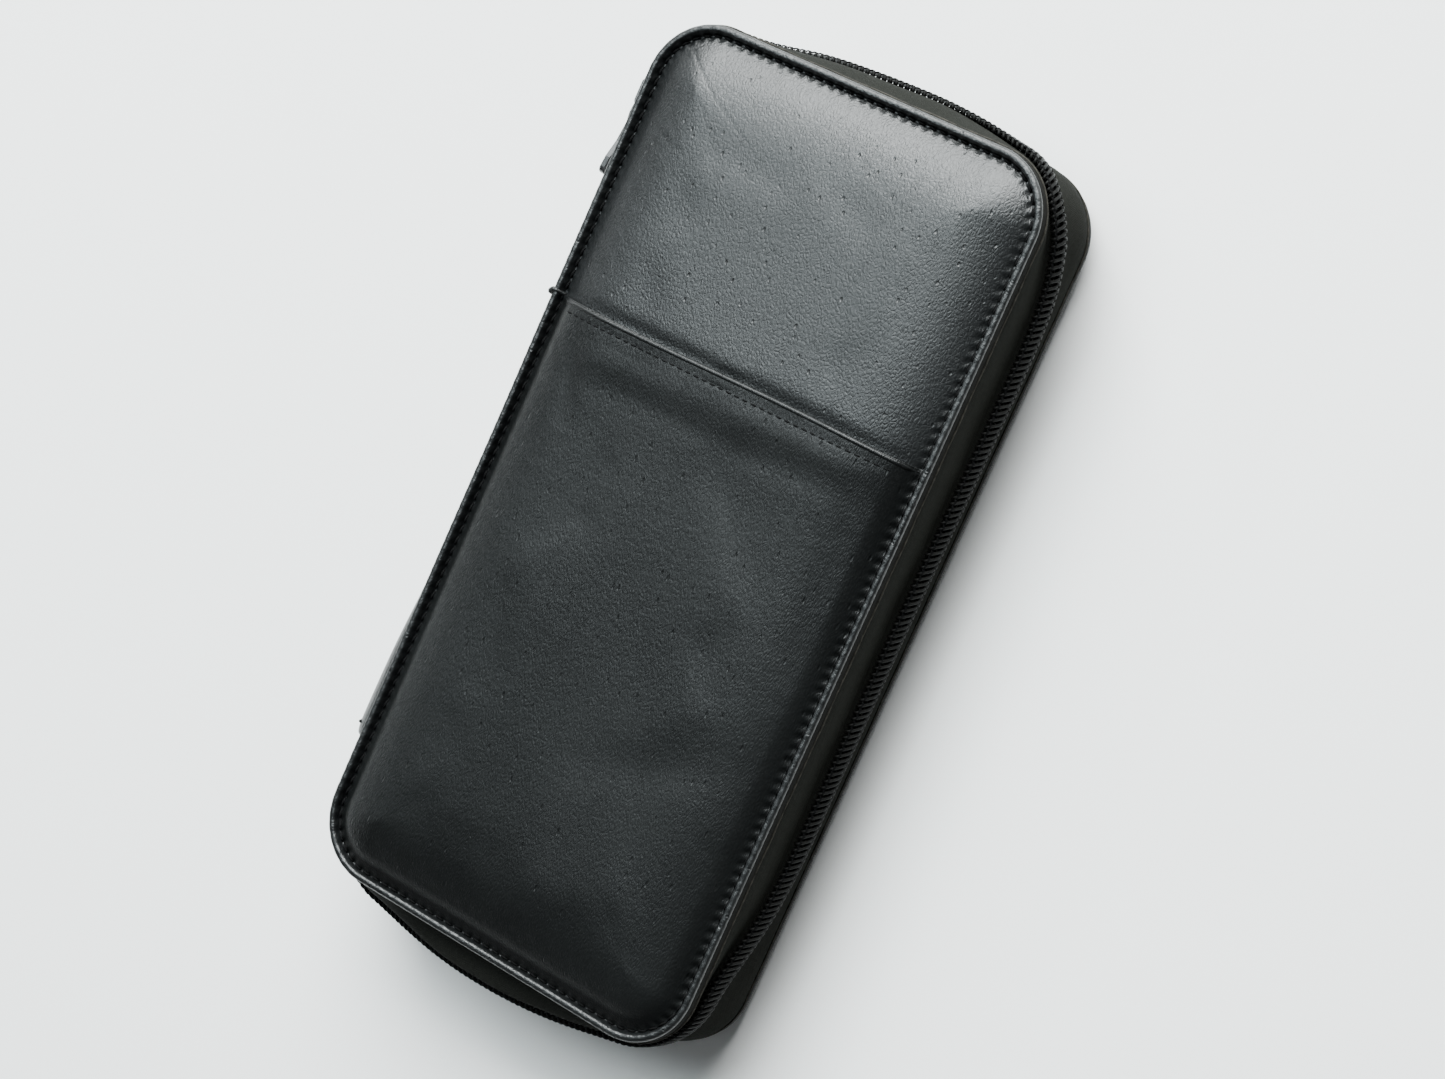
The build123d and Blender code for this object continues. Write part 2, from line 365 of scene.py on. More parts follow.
def edge_paint_finish():
    """Dull grey-brown paint on the rim's wall, with the fibres showing through."""
    finish = Finish("dull_edge_paint", 0.75, Specular_IOR_Level=0.06)
    grain = finish.noise(finish.place(size=(2.5, 2.5, 0.5)), 0.9, 4.0)
    finish.colour(finish.ramp(grain, 0.3, 0.75), (0.0030, 0.0029, 0.0025), (0.0080, 0.0076, 0.0064))
    finish.bump(grain, 0.5, 0.12)
    return finish.material


# %% Thread
def thread_finish():
    """Black twisted sewing thread."""
    finish = Finish("twisted_thread", 0.75, Specular_IOR_Level=0.08)
    ply = finish.node("ShaderNodeTexWave", wave_type="BANDS", bands_direction="DIAGONAL")
    ply.inputs["Scale"].default_value = 1.4
    ply.inputs["Distortion"].default_value = 1.0
    finish.link(finish.place(), ply.inputs["Vector"])
    finish.colour(ply.outputs["Fac"], (0.0008, 0.0008, 0.0009), (0.003, 0.003, 0.0032))
    finish.bump(ply.outputs["Fac"], 0.7, 0.08)
    return finish.material


# %% Zip tape and coil
def tape_finish():
    """Woven polyester tape: a fine herringbone that runs along the zip."""
    finish = Finish("woven_zip_tape", 0.85, Specular_IOR_Level=0.04)
    rib_width, twill_pitch, weft_pitch = 1.4, 0.55, 0.4
    where = finish.place(uv=True)
    parts = finish.node("ShaderNodeSeparateXYZ")
    finish.link(where, parts.inputs[0])
    zigzag = finish.math("PINGPONG", parts.outputs["Y"], rib_width)
    slant = finish.math("ADD", parts.outputs["X"], zigzag)
    twill = finish.math("SINE", finish.math("MULTIPLY", slant, 2 * math.pi / twill_pitch), 0)
    weft = finish.math("SINE", finish.math("MULTIPLY", parts.outputs["Y"], 2 * math.pi / weft_pitch), 0)
    weave = finish.math("ADD", finish.math("MULTIPLY", twill, 0.5), finish.math("MULTIPLY", weft, 0.25))
    fluff = finish.noise(where, 1.3, 4.0)
    finish.colour(
        finish.math("MULTIPLY", finish.ramp(weave, -0.7, 0.7, 0.35), fluff),
        (0.0058, 0.0060, 0.0052),
        (0.0188, 0.0194, 0.0166),
    )
    finish.bump(finish.math("ADD", weave, fluff), 0.55, 0.10)
    return finish.material


def coil_finish():
    """Black nylon monofilament, a little glossy."""
    finish = Finish("nylon_coil", 0.55, Specular_IOR_Level=0.1)
    wear = finish.noise(finish.place(), 0.5, 3.0)
    finish.colour(finish.ramp(wear, 0.35, 0.7), (0.0018, 0.0018, 0.0016), (0.0045, 0.0045, 0.0040))
    finish.bump(finish.noise(finish.place(), 3.0, 2.0), 0.2, 0.05)
    return finish.material


# %% Enamelled metal
def metal_finish():
    """Black enamel over zinc, slightly orange-peeled, with fine scratches."""
    finish = Finish("black_enamelled_metal", 0.3, Coat_Weight=0.35, Coat_Roughness=0.2)
    peel = finish.noise(finish.place(), 1.2, 2.0)
    scratches = finish.noise(finish.place(size=(0.25, 3.0, 0.25)), 1.0, 5.0, 0.7)
    finish.colour(finish.ramp(scratches, 0.55, 0.8), (0.005, 0.005, 0.0055), (0.03, 0.03, 0.03))
    finish.link(finish.ramp(scratches, 0.3, 0.8, 0.24, 0.45), finish.shader.inputs["Roughness"])
    finish.bump(peel, 0.15, 0.06)
    return finish.material


# %% Lining cloth, and the layers that are hidden
def lining_finish():
    """Soft black brushed cloth."""
    finish = Finish("brushed_lining", 0.85, Sheen_Weight=0.35, Sheen_Roughness=0.45)
    nap = finish.noise(finish.place(size=(1, 1.6, 1)), 1.6, 6.0, 0.7)
    rubbed = finish.noise(finish.place(), 0.05, 3.0)
    both = finish.math("MULTIPLY", nap, finish.ramp(rubbed, 0.25, 0.75, 0.6, 1.2))
    finish.colour(finish.ramp(both, 0.2, 0.7), (0.011, 0.011, 0.012), (0.045, 0.045, 0.048))
    finish.bump(nap, 0.7, 0.16)
    return finish.material


def hidden_finish(name, dark, light, rough, grain_mm):
    """Board and foam inside the covers: plain, but with their own grain."""
    finish = Finish(name, rough)
    grain = finish.noise(finish.place(), 1 / grain_mm, 5.0, 0.65)
    finish.colour(finish.ramp(grain, 0.3, 0.7), dark, light)
    finish.bump(grain, 0.5, 0.2)
    return finish.material


# %% Make the finishes
cut_edge = cut_edge_finish()
edge_paint = edge_paint_finish()
thread = thread_finish()
zip_tape = tape_finish()
nylon_coil = coil_finish()
enamel = metal_finish()
lining_cloth = lining_finish()
board = hidden_finish("fibre_board", (0.20, 0.17, 0.13), (0.40, 0.35, 0.28), 0.8, 0.7)
foam = hidden_finish("soft_foam", (0.38, 0.38, 0.35), (0.58, 0.58, 0.55), 0.9, 0.5)
print("materials:", [m.name for m in bpy.data.materials])


# %% Dress a piece: material, body and the CAD parts it hides, in one call
def dress(piece, material, body=None, replaces=()):
    """Gives a piece its finish, the body it rides and the CAD nodes it replaces."""
    piece.data.materials.clear()
    piece.data.materials.append(material)
    if body:
        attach(piece, body)
    if replaces:
        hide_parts(*replaces)


# %% [markdown]
# ## The padded crown, by cloth simulation
# Under the leather is foam, sewn down all round. A real cover gets its shape when the leather is pulled over
# the foam and stitched: it swells in the middle and pulls in at the seams. The cloth solver does the same: a
# coarse sheet over the foam is pinned along the seam and blown up gently. How much its height differs from a
# plain crown is then read back, within a limit, wherever the fine mesh needs it. So the cover keeps its size,
# and the seam stays where it is sewn.

# %% The crown's plain form
crown_start = 2.95 * MM
crown_end = 24 * MM
crown_rise = 5.2 * MM
crown_foot = 1.25 * MM + 0.35 * MM
corner_rounding = 0.8


def plain_crown(inset):
    """Height of the crown above the rim's inner face, before any cloth."""
    reach = np.clip((inset - crown_start) / (crown_end - crown_start), 0, 1)
    return crown_foot + crown_rise * (1 - (1 - reach) ** 2.5)


def inset_at(x, y):
    """How far points lie inside the cover's outline; deep inside, its corners grow rounder."""
    out_x = np.abs(x) - (half_width - corner_radius)
    out_y = np.abs(y) - (half_length - corner_radius)
    beyond = np.hypot(np.maximum(out_x, 0), np.maximum(out_y, 0))
    deeper = np.maximum(out_x, out_y)
    rounder = corner_rounding * np.maximum(-deeper, 0)
    within = np.minimum((out_x + out_y + np.hypot(out_x - out_y, rounder)) / 2, 0)
    return corner_radius - beyond - within


crown_top = float(plain_crown(crown_end))
print("the crown rises from", round(crown_foot / MM, 2), "to", round(crown_top / MM, 2), "mm")


# %% The sheet's grid and how its leather behaves
cell = 2.6 * MM
grid_x = np.arange(-19, 20) * cell
grid_y = np.arange(-39, 40) * cell
pinned_margin = 5.5 * MM
puff_limit = 0.2 * MM
simulated_steps = 24
LEATHER_SHEET = {
    "vertex_group_mass": "seam",
    "quality": 6,
    "mass": 0.4,
    "tension_stiffness": 30,
    "compression_stiffness": 30,
    "shear_stiffness": 12,
    "bending_stiffness": 2.0,
    "tension_damping": 15,
    "compression_damping": 15,
    "use_pressure": True,
    "uniform_pressure_force": 1.2,
    "shrink_min": -0.02,
}
print("simulated sheet:", len(grid_x), "x", len(grid_y), "points")


# %% Blow the sheet up over the foam
def puff_crown(name, seed):
    """Simulates one cover's padded crown: how much it differs from the plain one, on a grid."""
    x, y = np.meshgrid(grid_x, grid_y, indexing="ij")
    inset = inset_at(x, y)
    plain = plain_crown(inset)
    rng = np.random.default_rng(seed)
    start = plain + rng.normal(0, 0.02 * MM, plain.shape)
    vertices = np.column_stack([x.ravel(), y.ravel(), start.ravel()])
    faces = grid_faces(*x.shape, wrap_columns=False)
    sheet = bpy.data.objects.new(name, bpy.data.meshes.new(name))
    sheet.data.from_pydata([tuple(v) for v in vertices], [], [tuple(f) for f in faces])
    bpy.context.scene.collection.objects.link(sheet)
    pins = sheet.vertex_groups.new(name="seam")
    pins.add([int(n) for n in np.flatnonzero(inset.ravel() < pinned_margin)], 1.0, "REPLACE")
    cloth = sheet.modifiers.new("leather", "CLOTH")
    for setting, value in LEATHER_SHEET.items():
        setattr(cloth.settings, setting, value)
    cloth.settings.effector_weights.gravity = 0
    cloth.collision_settings.use_collision = False
    for step in range(1, simulated_steps + 1):
        bpy.context.scene.frame_set(step)
    shape = sheet.evaluated_get(bpy.context.evaluated_depsgraph_get())
    after = np.array([v.co.z for v in shape.data.vertices]).reshape(x.shape)
    bpy.context.scene.frame_set(1)
    bpy.data.objects.remove(sheet)
    moved = after - plain
    print(name, "moved by", np.round(np.percentile(moved / MM, [0, 5, 50, 95, 100]), 2), "mm")
    moved = moved - np.median(moved[inset > 12 * MM])
    free = np.clip((inset - 5 * MM) / (9 * MM), 0, 1)
    return np.tanh(moved / (0.9 * MM)) * puff_limit * free


crown_changes = {"front": puff_crown("front_puff", 3), "back": puff_crown("back_puff", 8)}


# %% Read the simulated grid smoothly, with cubic splines
def spline_weights(t):
    """The four cubic B-spline weights round a place between two grid lines."""
    return (
        (1 - t) ** 3 / 6,
        (3 * t**3 - 6 * t**2 + 4) / 6,
        (-3 * t**3 + 3 * t**2 + 3 * t + 1) / 6,
        t**3 / 6,
    )


def read_grid(values, x, y):
    """Values of the grid at any points."""
    u = np.clip((x - grid_x[0]) / cell, 1, len(grid_x) - 3)
    v = np.clip((y - grid_y[0]) / cell, 1, len(grid_y) - 3)
    i, j = u.astype(int), v.astype(int)
    across, along = spline_weights(u - i), spline_weights(v - j)
    total = np.zeros_like(u)
    for a in range(4):
        for b in range(4):
            total += across[a] * along[b] * values[i + a - 1, j + b - 1]
    return total


# %% Creases pressed into the leather
def lines_pressed(x, y, marks):
    """Depth of soft creases: each mark is a start, an end, a width and a depth in millimetres."""
    depth = np.zeros_like(x)
    for x0, y0, x1, y1, width, deep in marks:
        start, run = np.array([x0, y0]) * MM, np.array([x1 - x0, y1 - y0]) * MM
        t = ((x - start[0]) * run[0] + (y - start[1]) * run[1]) / (run @ run)
        clipped = np.clip(t, 0, 1)
        away = np.hypot(x - start[0] - clipped * run[0], y - start[1] - clipped * run[1])
        fade = np.sin(math.pi * np.clip(t, 0.02, 0.98)) ** 0.5
        depth += deep * MM * fade * np.exp(-((away / (width * MM)) ** 2))
    return depth


leather_creases = [
    (-43.5, 95.5, -30, 86.3, 0.30, 0.10),
    (-31, 87.0, -17, 80.0, 0.30, 0.06),
    (-44, 75.5, -32, 73.0, 0.5, 0.07),
    (20, 56, 23, 42, 0.8, 0.07),
    (-8, 66, 6, 57, 0.5, 0.04),
    (6, 88, 24, 80, 0.5, 0.04),
    (-47, 34.9, 47, 34.7, 1.8, 0.6),
]


# %% The finished crown's height
def crown_at(side_name, x, y, creased=True):
    """Height of the finished crown at points of one cover; the table presses the back one flat."""
    inset = inset_at(x, y)
    found = plain_crown(inset) + read_grid(crown_changes[side_name], x, y)
    soft = 0.12 * np.sin(x / (12 * MM) + 1.3) * np.sin(y / (19 * MM) + 0.4)
    soft += 0.04 * np.sin((x + y) / (8.3 * MM)) * np.sin((x - 2 * y) / (27 * MM))
    calm = np.clip((inset - crown_start) / (12 * MM), 0, 1)
    found += soft * MM * calm
    if side_name == "front" and creased:
        found -= lines_pressed(x, y, leather_creases)
    if side_name == "back":
        found = np.minimum(found, rim_face[-1])
    return found


# %% [markdown]
# ## Cover leather
# Seen close, the edge has a story: the leather is turned over the board, so its rim is a round bead with a
# short wall below it, and just inside runs a channel where the thread pulls the leather down. Between two
# stitches the leather puffs up again. That scalloped line is what makes sewn leather look sewn, so it is
# modelled, not painted. The shell has an inner face too, because real leather has a thickness. The wall of
# the rim has its own dull finish, as leather workers paint a cut edge, and the bead above it is rubbed
# smooth.

# %% Where the stitches are
stitch_inset = 2.45 * MM
stitch_pitch = 2.65 * MM
skin_pitch = 0.5 * MM
seam_points, seam_outward = outline_loop(stitch_inset, skin_pitch)
seam_steps = np.linalg.norm(np.roll(seam_points, -1, axis=0) - seam_points, axis=1)
seam_length = seam_steps.sum()
seam_way = np.concatenate([[0], np.cumsum(seam_steps)[:-1]])
stitch_count = round(seam_length / stitch_pitch)
stitch_phase = seam_way / seam_length * stitch_count
hole = 0.5 + 0.5 * np.cos(2 * math.pi * stitch_phase)    # 1 at a needle hole, 0 halfway to the next
print("stitches round a cover:", stitch_count)

# %% The rim's section: distance in from the outline and height, in millimetres
RIM_SECTION = [
    (5.2, 0.0),
    (3.2, 0.0),
    (0.9, 0.0),
    (0.25, 0.02),
    (0.04, 0.16),
    (0.02, 0.45),
    (0.08, 0.85),
    (0.18, 1.3),
    (0.24, 1.75),
    (0.28, 1.95),
    (0.28, 2.08),
    (0.19, 2.24),
    (0.22, 2.48),
    (0.33, 2.74),
    (0.55, 2.93),
    (0.85, 3.03),
    (1.15, 3.06),
    (1.45, 3.02),
    (1.68, 2.88),
    (1.85, 2.6),
    (1.97, 2.2),
    (2.07, 1.75),
    (2.18, 1.35),
    (2.35, 1.1),
    (2.58, 1.04),
    (2.8, 1.22),
]
CROWN_INSETS = [2.95, 3.1, 3.3, 3.55, 3.85, 4.2, 4.6]
CROWN_INSETS += [*np.arange(5.1, 24, 0.6), *np.arange(24, 50, 1.3), 50.0]


# %% What the thread does to the leather
pulled_inset = 3.1 * MM
pulled_width = 0.62 * MM
pulled_down = 0.36 * MM
puffed_out = 0.16 * MM


def sewn_down(inset, points, outward, level):
    """A loop pulled down at the needle holes and puffed out between them, most beside the seam."""
    pull = math.exp(-(((inset - pulled_inset) / pulled_width) ** 2))
    puffed = points + outward * (puffed_out * pull * (1 - hole))[:, None]
    return puffed, level - pulled_down * pull * hole


# %% The outer face, loop by loop
def cover_loops(side_name):
    """The outer face of one cover as loops of (x, y, height), from its underside to its middle."""
    slow = np.sin(seam_way / (23 * MM)) * 0.5 + np.sin(seam_way / (9.1 * MM) + 1) * 0.3
    loops = []
    for inset, height in RIM_SECTION:
        points, outward = outline_loop(inset * MM, skin_pitch)
        top = max(0.0, min(1.0, (height - 1.2) / 1.5))
        level = np.full(len(points), height * MM) + 0.10 * MM * top * slow
        notch = 0.14 * MM * hole * max(0.0, (inset - 1.0) / 1.4) * top
        shifted = points + outward * (notch + 0.05 * MM * slow * top)[:, None]
        loops.append(np.column_stack([shifted, level - 0.09 * MM * hole * top]))
    for inset in CROWN_INSETS:
        points, outward = outline_loop(inset * MM, skin_pitch)
        level = crown_at(side_name, points[:, 0], points[:, 1])
        shifted, level = sewn_down(inset * MM, points, outward, level)
        loops.append(np.column_stack([shifted, level]))
    return loops


# %% Put heights in their place
def on_side(side, loops):
    """Turns heights above the rim's inner face into the row frame's z."""
    placed = []
    for loop in loops:
        placed.append(np.column_stack([loop[:, :2], rim_face[side] + side * loop[:, 2]]))
    return placed


def level_loop(inset, height, pitch):
    """A flat loop, drawn in by inset at one height, both in millimetres."""
    points, _ = outline_loop(inset * MM, pitch)
    return np.column_stack([points, np.full(len(points), height * MM)])


# %% Close the leather with its inner face, and paint its edge
# These two are in millimetres, as level_loop takes them.
leather_depth = 1.9
board_face = 1.2
wall_top = 2.0 * MM
for side_name, side in SIDES.items():
    outer = cover_loops(side_name)
    inner = []
    for inset in (50, 44, 36, 28, 20, 14, 10, 8, 6.6, 5.6):
        height = float(plain_crown(inset * MM)) / MM - leather_depth
        inner.append(level_loop(inset, max(height, board_face + 0.01), skin_pitch))
    inner.append(level_loop(5.5, board_face, skin_pitch))
    skin = ring_piece(side_name + "_cover_skin", on_side(side, inner + outer))
    dress(skin, cover_leather, side_name + "_half", [side_name + "_cover_leather"])
    for finish in (edge_paint, burnished_rim):
        skin.data.materials.append(finish)
    centres = np.empty(3 * len(skin.data.polygons))
    skin.data.polygons.foreach_get("center", centres)
    centres = centres.reshape(-1, 3)
    height = side * (centres[:, 2] - rim_face[side])
    inset = inset_at(centres[:, 0], centres[:, 1])
    wall = (inset < 0.5 * MM) & (height > 0.1 * MM) & (height < wall_top)
    bead = (inset < 1.9 * MM) & (height > wall_top)
    finish_number = np.where(wall, 1, np.where(bead, 2, 0)).astype(np.int32)
    skin.data.polygons.foreach_set("material_index", finish_number)
    print(skin.name, len(skin.data.polygons), "faces")

# %% [markdown]
# ## Foam
# A sheet of foam lies between the board and the leather and makes the cover swell. It follows the same crown,
# a leather's thickness lower, and stops short of the seam. Nobody sees it, but the case would be hollow
# without it, and the leather above would have nothing to rest on.

# %% The foam under the leather
foam_pitch = 1.5 * MM
foam_depth = 2.0
for side_name, side in SIDES.items():
    loops = [level_loop(inset, board_face, foam_pitch) for inset in (50, 30, 12, 6.3)]
    for inset in (6.6, 8, 10, 14, 20, 28, 36, 44, 50):
        height = float(plain_crown(inset * MM)) / MM - foam_depth
        loops.append(level_loop(inset, max(height, board_face + 0.05), foam_pitch))
    pad = ring_piece(side_name + "_foam_pad", on_side(side, loops))
    dress(pad, foam, side_name + "_half", [side_name + "_padding"])
    print(pad.name, len(pad.data.polygons), "faces")

# %% [markdown]
# ## The cut edge
# Where the turned leather ends, under the rim's wall, its brown fibres show as a thin paler line. It is a
# separate bead of a fifth of a millimetre, because a painted line would not catch the light. Beside the spine
# it is pressed thin, where the spine's own leather goes under the rim.

# %% The paler line along the outline
pressed_radius, open_radius = 0.02 * MM, 0.22 * MM
for side_name, side in SIDES.items():
    points, outward = outline_loop(0.0, 0.8 * MM)
    wobble = 0.05 * MM * np.sin(np.arange(len(points)) * 0.37)
    line = points + outward * (0.04 * MM + wobble)[:, None]
    height = np.full(len(points), rim_face[side] + side * 0.14 * MM)
    line = np.column_stack([line, height])
    beside_spine = (line[:, 0] < -49.5 * MM) & (np.abs(line[:, 1]) < 75 * MM)
    thick = np.where(beside_spine, pressed_radius, open_radius)
    edge = tubes(side_name + "_cut_edge", [line], thick, (0, 0, 1), 6, closed=True)
    dress(edge, cut_edge, side_name + "_half")
    print(edge.name, "goes through", len(points), "points")

# %% [markdown]
# ## Stitches
# A lock stitch shows as short arched lengths of thread that dive into a hole at both ends. Every stitch is a
# small tube, thin at its ends, laid on the channel's floor at the places counted above.

# %% Lay a row of stitches along a line
STITCH_TAPER = np.array([0.55, 0.85, 1.0, 1.05, 1.0, 0.85, 0.55])


def stitch_row(name, starts, ends, ups, radius, arch):
    """One short arched thread between each pair of holes."""
    t = np.linspace(0, 1, len(STITCH_TAPER))[None, :, None]
    lines = starts[:, None] * (1 - t) + ends[:, None] * t
    rise = np.sin(math.pi * t) ** 0.7 * arch - 0.25 * radius
    lines = lines + rise * ups[:, None]
    return tubes(name, lines, radius * STITCH_TAPER, ups[:, None], 7)


def along_seam(fractions):
    """Points and outward directions at shares of the way round the cover's seam."""
    way = np.asarray(fractions) % 1.0 * seam_length
    closed_way = np.append(seam_way, seam_length)
    columns = []
    for source in (seam_points, seam_outward):
        wrapped = np.vstack([source, source[:1]])
        columns.append(np.column_stack([np.interp(way, closed_way, wrapped[:, k]) for k in (0, 1)]))
    return columns


# %% Sew round both covers
for side_name, side in SIDES.items():
    number = np.arange(stitch_count)
    rng = np.random.default_rng(5)
    first, outward = along_seam((number + 0.12) / stitch_count)
    last, _ = along_seam((number + 0.88) / stitch_count)
    slant = outward * 0.12 * MM + rng.normal(0, 0.04 * MM, first.shape)
    level = np.full(stitch_count, rim_face[side] + side * 1.34 * MM)
    starts = np.column_stack([first + slant, level])
    ends = np.column_stack([last - slant, level])
    ups = np.tile((0, 0, side), (stitch_count, 1))
    row = stitch_row(side_name + "_edge_stitches", starts, ends, ups, 0.28 * MM, 0.22 * MM)
    dress(row, thread, side_name + "_half", [side_name + "_edge_stitching"])
print("stitches laid:", 2 * stitch_count)

# %% [markdown]
# ## The slip pocket
# A second, softer leather covers the lower part of the front cover. Its edges go down into the same seam, so
# the same loops are lifted a little and cut off straight at the pocket's mouth. The mouth is a fold, so it is
# thick and round, and the thin line of light on it is the strongest line on the whole front.

# %% How the pocket lies on the cover
mouth_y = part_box("slip_pocket")[1].y
pocket_foot = 1.33 * MM
pocket_depth = 1.05 * MM
pocket_folds = [
    (-45, 32.2, 45, 32.2, 0.4, 0.12),
    (-36, 25.5, 0, 28.2, 3.0, -0.22),
    (0, 28.2, 43, 29.5, 2.8, -0.26),
    (-34, 20.5, 42, 23.4, 2.8, 0.16),
    (-38, 30, -31, 8, 3.0, 0.30),
    (45, -36, 2, -54, 5.0, 0.22),
    (38, 26, 41, -20, 3.5, 0.25),
]


def pocket_lift(x, y, inset):
    """How far the pocket stands off the cover: sewn flat at its edges, full and creased in the middle."""
    edge = np.clip((inset - crown_start) / (4.5 * MM), 0, 1)
    full = edge * edge * (3 - 2 * edge)
    near_mouth = np.exp(-(((mouth_y - y) / (15 * MM)) ** 2))
    middle = np.clip(1 - (x / (47 * MM)) ** 2, 0, 1) ** 0.5
    lift = 0.10 * MM + full * (0.85 + 1.2 * near_mouth * middle) * MM
    return lift - full * lines_pressed(x, y, pocket_folds)


def pocket_loops(under):
    """The pocket's loops on its outer or under side."""
    insets = [2.5, 2.75, *CROWN_INSETS]
    if under:
        insets = [2.5, 2.75, *CROWN_INSETS[:30:2], *CROWN_INSETS[30:]]
    loops = []
    for inset in insets:
        points, outward = outline_loop(inset * MM, skin_pitch)
        x, y = points.T
        level = crown_at("front", x, y, creased=False)
        if inset * MM < crown_start:
            level = np.full(len(x), pocket_foot)
        shifted, level = sewn_down(inset * MM, points, outward, level)
        lift = pocket_lift(x, y, inset * MM)
        if under:
            lift = np.maximum(lift - pocket_depth, 0.05 * MM)
        loops.append(np.column_stack([shifted, level + lift]))
    return loops


# %% Cut the pocket from the cover's loops
def cut_above(piece, y):
    """Removes everything beyond a line across the case and closes the cut."""
    work = bmesh.new()
    work.from_mesh(piece.data)
    geometry = work.verts[:] + work.edges[:] + work.faces[:]
    bmesh.ops.bisect_plane(work, geom=geometry, plane_co=(0, y, 0), plane_no=(0, 1, 0), clear_outer=True)
    rim_edges = [e for e in work.edges if e.is_boundary]
    bmesh.ops.holes_fill(work, edges=rim_edges)
    for face in work.faces:
        face.smooth = True
    work.to_mesh(piece.data)
    work.free()


loops = pocket_loops(True)[::-1] + pocket_loops(False)
pocket = ring_piece("slip_pocket_panel", on_side(1, loops))
cut_above(pocket, mouth_y - 0.3 * MM)
dress(pocket, pocket_leather, "front_half", ["slip_pocket"])
print("pocket reaches y =", round(mouth_y / MM, 1), "mm and has", len(pocket.data.polygons), "faces")


# %% The folded mouth
def pocket_top(x, y):
    """Height of the pocket's outer face above the rim's inner face."""
    return crown_at("front", x, y, creased=False) + pocket_lift(x, y, inset_at(x, y))


mouth_x = np.linspace(-47.0, 47.0, 130) * MM
mouth_line = np.full_like(mouth_x, mouth_y - 0.55 * MM)
mouth_line += 0.25 * MM * np.sin(mouth_x / (14 * MM)) - 0.5 * MM * (mouth_x / (46 * MM)) ** 2
top = pocket_top(mouth_x, mouth_line)
fold = np.column_stack([mouth_x, mouth_line, rim_face[1] + top - 0.34 * MM])
thick = 0.58 * MM * np.clip((47.8 * MM - np.abs(mouth_x)) / (3 * MM), 0.5, 1)
hem = tubes("slip_pocket_fold", [fold], thick, (0, 0, 1), 12)
dress(hem, pocket_leather, "front_half")
print("mouth fold, mm above the rim:", round(top.min() / MM, 1), "to", round(top.max() / MM, 1))

# %% The fold's end is turned over the rim beside the spine and sticks out
over = [(-46.9, 34.6, 1.3), (-47.7, 34.7, 1.5), (-48.4, 34.8, 2.5), (-49.2, 34.9, 2.85)]
over += [(-49.8, 34.7, 2.6), (-50.1, 34.4, 2.3), (-50.5, 34.0, 2.15), (-50.7, 33.7, 2.1)]
over = np.array(over) * MM
over[:, 2] += rim_face[1]
wide = np.array([0.45, 0.5, 0.55, 0.6, 0.7, 0.8, 0.75, 0.4]) * MM
turned_end = tubes("slip_pocket_turned_end", [over], wide, (0, 1, 0), 10)
dress(turned_end, pocket_leather, "front_half")
print("turned end stands", round((over[:, 2].max() - rim_face[1]) / MM, 1), "mm over the rim's inner face")

# %% The row of stitches under the mouth
pocket_pitch = 2.15 * MM
seam_x = np.arange(-43.0 * MM, 43.0 * MM, pocket_pitch)
seam_drop = 3.0 * MM
holes = []
for share in (0.15, 0.85):
    x = seam_x + share * pocket_pitch
    y = np.full_like(x, mouth_y - seam_drop)
    holes.append(np.column_stack([x, y, rim_face[1] + pocket_top(x, y) - 0.06 * MM]))
ups = np.tile((0, 0, 1), (len(seam_x), 1))
row = stitch_row("slip_pocket_stitches", holes[0], holes[1], ups, 0.23 * MM, 0.10 * MM)
dress(row, thread, "front_half", ["slip_pocket_stitching"])
print("stitches under the mouth:", len(seam_x))

# %% [markdown]
# ## Zip path
# The zip starts beside the spine, runs round three sides and ends beside the spine again. One function walks
# that way, so the tape, the coil and their stitches all follow it. A soft case never keeps its zip straight:
# it is tight and high round the two far corners, and bows out where nothing but the coil holds it.

# %% The stretches of the way
tail_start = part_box("spine_leather")[1].y
tail = ("line", half_length - corner_radius - tail_start)
corner = ("turn", corner_radius * math.pi / 2)
short_side = ("line", 2 * (half_width - corner_radius))
long_side = ("line", 2 * (half_length - corner_radius))
ZIP_STRETCHES = [tail, corner, short_side, corner, long_side, corner, short_side, corner, tail]
zip_length = sum(length for _, length in ZIP_STRETCHES)
print("zip length, mm:", round(zip_length / MM))


# %% Walk round the case
def zip_at(way):
    """Points on the covers' outline and outward directions at distances along the zip."""
    way = np.clip(np.asarray(way, float), 0, zip_length)
    points, outward = np.zeros((len(way), 2)), np.zeros((len(way), 2))
    place, heading, done = np.array([-half_width, tail_start]), math.pi / 2, 0.0
    for kind, length in ZIP_STRETCHES:
        inside = (way >= done - 1e-12) & (way <= done + length + 1e-9)
        local = way[inside] - done
        forward = np.array([math.cos(heading), math.sin(heading)])
        left = np.array([-forward[1], forward[0]])
        if kind == "line":
            points[inside] = place + np.outer(local, forward)
            outward[inside] = left
            place = place + forward * length
        else:
            centre = place - left * corner_radius
            angle = local / corner_radius
            ray = np.outer(np.cos(angle), left) + np.outer(np.sin(angle), forward)
            points[inside] = centre + ray * corner_radius
            outward[inside] = ray
            place = centre + forward * corner_radius
            heading -= math.pi / 2
        done += length
    return points, outward


